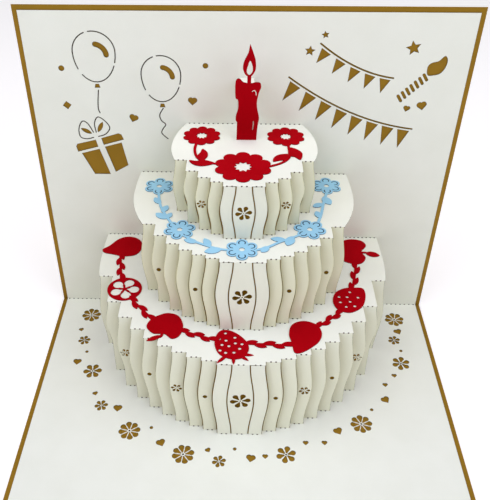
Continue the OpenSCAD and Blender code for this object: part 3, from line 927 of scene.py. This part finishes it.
@dataclass(frozen=True)
class Tier:
    """One round tier of the cake, slit into strips and folded.

    Attributes:
        height: Height of its strips.
        radius: Radius of its round front.
        set_off: Distance of its centre from the back panel.
        count: Strips on each side of the front strip.
        front: Width of the front strip.
        sweep: Angle from the front over which it is cut into strips, in degrees.
        swell: Sideways swell of its wavy slits.
        base: Height of its foot over the floor panel.
        back_from: Start of the perforations on its back fold, from the middle.
        back_to: End of these perforations.
        stain_and_shade: Strength of the cutter's stain and the painted shade on its side strips.
        front_stain_and_shade: Share of that on the strips in front, which face the light.
        dashes: Dashes on each fold of a strip.
        pitch: Pitch of all its dashes.
    """

    height: float
    radius: float
    set_off: float
    count: int
    front: float
    sweep: float
    swell: float
    base: float
    back_from: float
    back_to: float
    stain_and_shade: float = 1.0
    front_stain_and_shade: float = 0.35
    dashes: int = 2
    pitch: float = 1.9 * MM

    def slit(self, k: int) -> float:
        """Gives the place of slit k at a fold.

        Args:
            k: Number of the slit, from the front strip outwards.

        Returns:
            Its distance from the middle of the card.
        """
        strip = (self.radius * math.sin(math.radians(self.sweep)) - self.front / 2) / self.count
        return self.front / 2 + k * strip

    def depth(self, i: int) -> float:
        """Gives the distance of strip i from the back panel.

        Args:
            i: Number of the strip, with 0 for the front one.

        Returns:
            The distance of its face.
        """
        if i < FRONT_STRIPS:
            return self.set_off + self.radius
        return self.set_off + math.sqrt(self.radius**2 - self.slit(i) ** 2)

    def rise(self, k: int) -> float:
        """Gives the step between the folds of the strips on the two sides of slit k.

        Args:
            k: Number of the slit.

        Returns:
            How much further back the outer strip lies.
        """
        return self.depth(k) - self.depth(k + 1) if k < self.count else 0.0

    def strip_at(self, place: Vector) -> int | None:
        """Finds the strip that holds a point.

        Args:
            place: The point, seen from the card's fold.

        Returns:
            The strip's number, or nothing where the tier has no strip there.
        """
        top = self.base + self.height
        if not self.base - PAST_STRIP < place.z < top + PAST_STRIP:
            return None
        share = (top - place.z) / self.height
        across = abs(place.x) - self.swell * math.sin(math.pi * min(max(share, 0.0), 1.0)) ** 2
        for i in range(self.count + 1):
            if across < self.slit(i):
                return i if abs(-place.y - self.depth(i)) < ON_STRIP else None
        return None

    def slits(self, i: int, floor: float) -> tuple[Point, Point, Point]:
        """Gives what a finish needs to follow the slits beside strip i.

        Args:
            i: Number of the strip.
            floor: Height of the floor panel.

        Returns:
            The inner slit, the outer slit and the strip, as the slit group reads them.
        """
        outer = (self.slit(i), 0.0, 1.0 / (self.height - self.rise(i)))
        inner = (-self.slit(0), 0.0, 0.0)
        if i > 0:
            lead = self.rise(i - 1)
            inner = (self.slit(i - 1), -lead, 1.0 / (self.height - lead))
        # Stain and painted shade, less on the strips in front, which face the light
        stain_and_shade = self.stain_and_shade * (self.front_stain_and_shade if i < FRONT_STRIPS else 1.0)
        return inner, outer, (self.swell, floor + self.base + self.height, stain_and_shade)

    def row(self, kind: FoldKind, middle: float, depth: float, z: float) -> Crease:
        """Gives a centred row of dashes on one fold of a strip.

        Args:
            kind: Whether the fold is an outer or an inner corner.
            middle: Middle of the fold along the card.
            depth: Distance of the fold from the back panel.
            z: Height of the fold over the floor panel.

        Returns:
            The crease.
        """
        half = (self.dashes - 1) * self.pitch / 2
        return Crease(kind, (middle - half, -depth, z), (middle + half, -depth, z), self.dashes)

    def creases(self) -> list[Crease]:
        """Gives the perforations of all folds of the tier.

        Returns:
            The folds over and under each strip, and the back fold on both sides.
        """
        rows: list[Crease] = []
        top = self.base + self.height
        strips = [(0.0, 0)]
        strips += [
            (way * (self.slit(i - 1) + self.slit(i)) / 2, i)
            for i in range(1, self.count + 1)
            for way in (-1, 1)
        ]
        for middle, i in strips:
            rows.append(self.row(FoldKind.CREST, middle, self.depth(i), top))
            rows.append(self.row(FoldKind.VALLEY, middle, self.depth(i), self.base))
        return rows + paired_creases(self.back_from, self.back_to, top, self.pitch)


@dataclass(frozen=True)
class Perforations:
    """The rows of short cuts that make the folds fold, instanced by geometry nodes.

    Each cut is a dark dash that stands in for its hole: painted shade, with the brown of its
    scorched walls.

    Attributes:
        length: Length of a dash along the fold.
        crest_side: Side of a dash over an outer corner.
        crest_proud: How far it stands out of the sheet there.
        valley_side: Side of a dash in an inner corner.
    """

    length: float = 0.6 * MM
    crest_side: float = 0.32 * MM
    crest_proud: float = 0.02 * MM
    valley_side: float = 0.48 * MM

    def tree(self) -> GeometryNodeTree:
        """Builds the node tree that sets a dash on each step of a fold line.

        Returns:
            The tree, with named inputs for the dash's sizes and material.
        """
        tree = bpy.data.node_groups.new("fold_dashes", "GeometryNodeTree")
        new_socket = tree.interface.new_socket
        new_socket(name="Geometry", in_out="INPUT", socket_type="NodeSocketGeometry")
        add_numbers(tree, "INPUT", "Dash Length", "Dash Side")
        new_socket(name="Dash Material", in_out="INPUT", socket_type="NodeSocketMaterial")
        new_socket(name="Geometry", in_out="OUTPUT", socket_type="NodeSocketGeometry")
        link = tree.links.new
        given = add_node(tree, "NodeGroupInput")
        result = add_node(tree, "NodeGroupOutput")

        lines = add_node(tree, "GeometryNodeMeshToCurve")
        link(given.outputs["Geometry"], lines.inputs["Mesh"])
        count = add_node(tree, "GeometryNodeInputNamedAttribute", data_type="INT")
        count.inputs["Name"].default_value = "dashes"
        steps = add_node(tree, "GeometryNodeResampleCurve", mode="COUNT")
        link(lines.outputs["Curve"], steps.inputs["Curve"])
        link(count.outputs["Attribute"], steps.inputs["Count"])

        size = add_node(tree, "ShaderNodeCombineXYZ")
        link(given.outputs["Dash Length"], size.inputs["X"])
        link(given.outputs["Dash Side"], size.inputs["Y"])
        link(given.outputs["Dash Side"], size.inputs["Z"])
        dash = add_node(tree, "GeometryNodeMeshCube")
        link(size.outputs["Vector"], dash.inputs["Size"])
        copies = add_node(tree, "GeometryNodeInstanceOnPoints")
        link(steps.outputs["Curve"], copies.inputs["Points"])
        link(dash.outputs["Mesh"], copies.inputs["Instance"])
        real = add_node(tree, "GeometryNodeRealizeInstances")
        link(copies.outputs["Instances"], real.inputs["Geometry"])
        paint = add_node(tree, "GeometryNodeSetMaterial")
        link(real.outputs["Geometry"], paint.inputs["Geometry"])
        link(given.outputs["Dash Material"], paint.inputs["Material"])
        link(paint.outputs["Geometry"], result.inputs["Geometry"])
        return tree

    def lines(self, name: str, creases: list[Crease], shift: Vector) -> Object:
        """Draws the folds as single edges that carry their number of dashes.

        Args:
            name: Name of the piece.
            creases: The folds, seen from the card's fold.
            shift: What is added to each place.

        Returns:
            The object with the edges.
        """
        points = [Vector(p) + shift for c in creases for p in (c.start, c.end)]
        made = bpy.data.meshes.new(f"{name}_lines")
        made.from_pydata(points, [(2 * k, 2 * k + 1) for k in range(len(creases))], [])
        dashes = made.attributes.new("dashes", "INT", "POINT")
        dashes.data.foreach_set("value", [c.dashes for c in creases for _ in range(2)])
        return add_object(name, made)

    def build(
        self,
        kind: FoldKind,
        creases: list[Crease],
        fold: Vector,
        tree: GeometryNodeTree,
        finishes: Finishes,
    ) -> Object:
        """Makes all dashes of one kind of fold as a plain mesh.

        Args:
            kind: The kind of fold.
            creases: All folds of the card.
            fold: Inner corner of the card's fold.
            tree: The node tree of the dashes.
            finishes: The card's materials.

        Returns:
            The finished piece.
        """
        crest = kind is FoldKind.CREST
        side = self.crest_side if crest else self.valley_side
        inward = side / 2 - self.crest_proud if crest else 0.0
        shift = fold + Vector((0.0, inward, -inward))
        chosen = [crease for crease in creases if crease.kind is kind]
        piece = self.lines(f"{kind.value}_perforations", chosen, shift)
        nodes = piece.modifiers.new("dashes", "NODES")
        nodes.node_group = tree
        inputs = [item for item in tree.interface.items_tree if item.in_out == "INPUT"]
        sockets = {item.name: item.identifier for item in inputs}
        nodes[sockets["Dash Length"]] = self.length
        nodes[sockets["Dash Side"]] = side
        nodes[sockets["Dash Material"]] = finishes.get(PERFORATION)
        bpy.context.view_layer.update()
        graph = bpy.context.evaluated_depsgraph_get()
        made = bpy.data.meshes.new_from_object(piece.evaluated_get(graph), depsgraph=graph)
        piece.modifiers.remove(nodes)
        drawn = piece.data
        piece.data = made
        bpy.data.meshes.remove(drawn)
        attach(piece, "root")
        return piece


@dataclass(frozen=True)
class Softbox:
    """A large soft light.

    Attributes:
        name: Name of the light.
        place: Its middle.
        target: The point that it faces.
        size: Its width and height.
        power: Its power in watts.
        colour: Its colour.
        spread: Angle of its beam in degrees, which a grid narrows.
    """

    name: str
    place: Point
    target: Point
    size: tuple[float, float]
    power: float
    colour: RGB
    spread: float = 180.0

    def build(self) -> None:
        """Hangs the light and turns it to its target."""
        data = bpy.data.lights.new(self.name, "AREA")
        data.shape = "RECTANGLE"
        data.size, data.size_y = self.size
        data.energy = self.power
        data.color = self.colour
        data.spread = math.radians(self.spread)
        lamp = add_object(self.name, data)
        lamp.location = self.place
        aim = Vector(self.target) - Vector(self.place)
        lamp.rotation_euler = aim.to_track_quat("-Z", "Y").to_euler()


@dataclass(frozen=True)
class Viewpoint:
    """The camera, where the photograph was taken from.

    Attributes:
        place: Place of the lens.
        right: Direction to the right of the picture.
        up: Direction to its top.
        back: Direction out of the picture, against the view.
        sensor: Width of the sensor in millimetres.
        lens: Focal length in millimetres.
        shift: Shift of the picture to the right and up, in widths of the sensor.
    """

    place: Point = (-0.0029017, -0.1908296, 0.2393500)
    right: Point = (0.99945, 0.03279, -0.00490)
    up: Point = (-0.01621, 0.61237, 0.79041)
    back: Point = (0.02892, -0.78989, 0.61256)
    sensor: float = 36.0
    lens: float = 50.47
    shift: tuple[float, float] = (0.05986, -0.0010)

    def build(self) -> None:
        """Puts the camera in its place and makes it the scene's own."""
        data = bpy.data.cameras.new("camera")
        data.sensor_width = self.sensor
        data.lens = self.lens
        data.shift_x, data.shift_y = self.shift
        camera = add_object("camera", data)
        turn = Matrix((self.right, self.up, self.back)).transposed().to_4x4()
        camera.matrix_world = Matrix.Translation(self.place) @ turn
        bpy.context.scene.camera = camera


@dataclass(frozen=True)
class Studio:
    """Floor and light.

    Attributes:
        lights: The soft lights.
        sky: Strength of the even light from all round.
        floor_size: Side of the pale floor.
        floor_drop: Distance of the floor under the card, so that the two don't coincide.
        floor_colour: Colour of the floor.
        floor_glow: Strength of the floor's own light, which keeps it pale away from the lights.
        floor_rough: Roughness of the floor.
    """

    lights: tuple[Softbox, ...]
    sky: float = 0.3
    floor_size: float = 40.0
    floor_drop: float = 0.2 * MM
    floor_colour: RGB = (0.96, 0.92, 0.85)
    floor_glow: float = 0.3
    floor_rough: float = 0.9

    def floor(self) -> None:
        """Lays the plain pale floor."""
        half = self.floor_size / 2
        square = ((-half, -half), (half, -half), (half, half), (-half, half))
        made = bpy.data.meshes.new("floor")
        made.from_pydata([(x, y, -self.floor_drop) for x, y in square], [], [(0, 1, 2, 3)])
        pale = bpy.data.materials.new("floor_pale")
        pale.use_nodes = True
        set_inputs(pale.node_tree.nodes["Principled BSDF"], {
            "Base Color": (*self.floor_colour, 1.0),
            "Emission Color": WHITE,
            "Emission Strength": self.floor_glow,
            "Roughness": self.floor_rough,
        })
        made.materials.append(pale)
        add_object("floor", made)

    def light(self) -> None:
        """Sets the sky and the soft lights."""
        world = bpy.data.worlds.new("studio")
        world.use_nodes = True
        sky = world.node_tree.nodes["Background"]
        set_inputs(sky, {"Color": WHITE, "Strength": self.sky})
        bpy.context.scene.world = world
        for softbox in self.lights:
            softbox.build()

    def build(self) -> None:
        """Builds the whole studio, with plain display of colours."""
        bpy.context.scene.view_settings.view_transform = "Standard"
        self.floor()
        self.light()


CARD = Card()
# The bottom tier gets less stain and painted shade, so that its strips look brighter
BOTTOM = Tier(
    height=41.5 * MM, radius=63.5 * MM, set_off=18.5 * MM, count=10, front=7.0 * MM, sweep=78.5,
    swell=1.8 * MM, base=0.0, back_from=47 * MM, back_to=62 * MM, stain_and_shade=0.55,
)
MIDDLE = Tier(
    height=34.5 * MM, radius=46.0 * MM, set_off=17.0 * MM, count=7, front=7.2 * MM, sweep=60.5,
    swell=1.7 * MM, base=BOTTOM.height, back_from=30 * MM, back_to=44 * MM,
)
TOP = Tier(
    height=24.0 * MM, radius=29.0 * MM, set_off=19.5 * MM, count=5, front=6.0 * MM, sweep=68.5,
    swell=1.3 * MM, base=MIDDLE.base + MIDDLE.height, back_from=5 * MM, back_to=23 * MM,
)
TIERS = (BOTTOM, MIDDLE, TOP)

# Thickness of the coloured paper
PAPER = 0.3 * MM
SHEETS = (
    CutSheet("insert", CARD.sheet, WHITE_CARD, SCORCHED_CARD, strips=True),
    CutSheet("candle", PAPER, RED_PAPER, SCORCHED_RED),
    CutSheet("rose_garland", PAPER, RED_PAPER, SCORCHED_RED),
    CutSheet("blossom_garland", PAPER, BLUE_PAPER, SCORCHED_BLUE),
    CutSheet("fruit_garland", PAPER, RED_PAPER, SCORCHED_RED),
)

# Area over which an opening is where a tier folds out, which has no charred and shaded ring
OPENING = 250 * MM**2
# Painted shade in the fine line cuts, and rims round smaller cuts of char with painted shadow
CUTS = {
    "insert": (
        FineCuts("back_cut_shade", Facing.FRONT, -CARD.fold.y, CUT_SHADE, SCORCHED_CARD, OPENING),
        FineCuts("floor_cut_shade", Facing.TOP, CARD.fold.z, CUT_SHADE, SCORCHED_CARD, OPENING),
    ),
    "blossom_garland": (FineCuts("vein_cut_shade", Facing.TOP, None, VEIN, SCORCHED_BLUE),),
}

# Colours of the two side lights, and of the lights overhead and low in front
DAYLIGHT = (1.0, 1.09, 1.53)
LAMPLIGHT = (1.0, 0.92, 0.78)
# Middle of the cake, and the foot of its front
CAKE = (0.0, 0.02, 0.05)
FOOT = (0.005, 0.0, 0.008)
LIGHTS = (
    Softbox("left", (-0.62, -0.26, 0.70), CAKE, (1.0, 0.9), 3.1, DAYLIGHT),
    Softbox("right", (0.62, -0.26, 0.70), CAKE, (1.0, 0.9), 3.25, DAYLIGHT),
    Softbox("over", (0.0, 0.05, 0.75), CAKE, (0.5, 0.5), 1.35, LAMPLIGHT),
    Softbox("low", (0.10, -0.54, 0.03), FOOT, (0.13, 0.03), 0.0014, LAMPLIGHT, spread=13.0),
)


def dress_cover(cover: Object, finishes: Finishes) -> None:
    """Gives the cover's node its gold finish.

    Args:
        cover: The cover's object.
        finishes: The card's materials.
    """
    cover.data.materials.clear()
    cover.data.materials.append(finishes.get(GOLD_CARD))


def main() -> None:
    """Loads the frame, dresses each sheet, lays the dark perforation dashes and sets the studio."""
    logging.basicConfig(level=logging.INFO, format="%(name)s: %(message)s")
    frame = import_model()
    slots = {row["node"]: row["material_slot"] for row in frame["record"]["subparts"]}
    finishes = Finishes()

    dress_cover(frame["nodes"]["cover"], finishes)
    LOG.info("cover: gold finish")
    for sheet in SHEETS:
        piece = sheet.dress(frame["nodes"][sheet.node], slots[sheet.node], finishes)
        edges = sum(face.material_index == Surface.EDGE for face in piece.data.polygons)
        LOG.info("%s: %d faces, %d of them cut edges", piece.name, len(piece.data.polygons), edges)
        for cuts in CUTS.get(sheet.node, ()):
            cut_shade = cuts.build(piece, slots[sheet.node], finishes)
            LOG.info("%s: %d faces", cut_shade.name, len(cut_shade.data.polygons))

    folds = Perforations()
    tree = folds.tree()
    creases = CARD.creases() + [crease for tier in TIERS for crease in tier.creases()]
    for kind in FoldKind:
        piece = folds.build(kind, creases, CARD.fold, tree, finishes)
        LOG.info("%s: %d faces", piece.name, len(piece.data.polygons))

    Studio(LIGHTS).build()
    Viewpoint().build()


if __name__ == "__main__":
    main()
